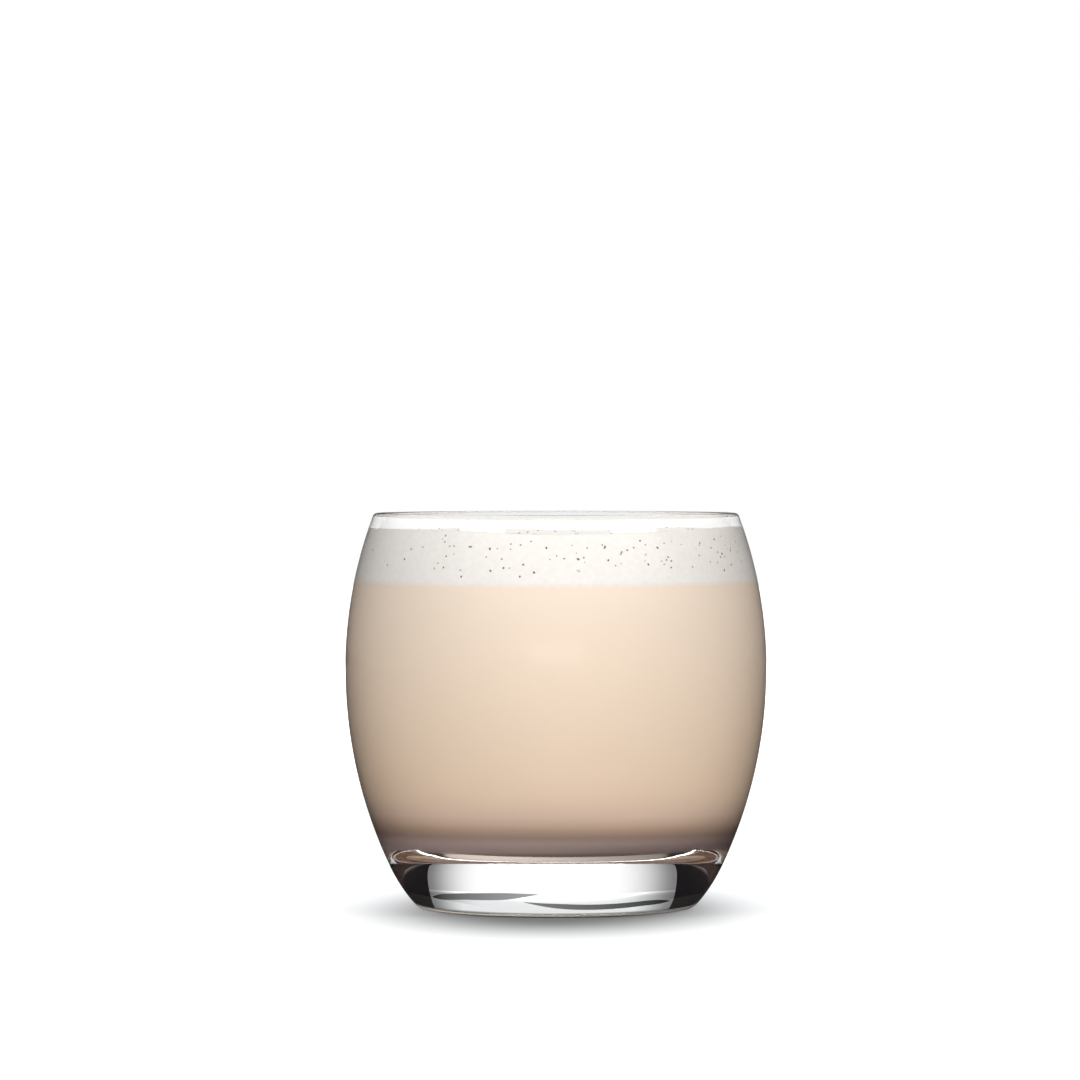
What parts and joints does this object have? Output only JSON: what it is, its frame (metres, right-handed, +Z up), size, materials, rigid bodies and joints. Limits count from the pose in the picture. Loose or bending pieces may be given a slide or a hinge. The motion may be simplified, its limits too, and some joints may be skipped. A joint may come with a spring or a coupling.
{
  "type": "glass of eggnog",
  "caption": "Clear barrel-shaped tumbler with a heavy base, filled with pale eggnog under a thick head of foam speckled with ground spice.",
  "frame": {"origin": "centre of the foot ring, on the surface that the glass stands on", "axes": "+Z up along the axis of the glass; the glass is round, so +X and +Y are any two level directions"},
  "size_m": [0.09, 0.09, 0.0844],
  "materials": {
    "clear_glass": "gloss",
    "eggnog": "satin",
    "foam": "matte"
  },
  "bodies": {
    "root": {"glass": "clear_glass", "eggnog": "eggnog", "foam": "foam"}
  },
  "joints": []
}
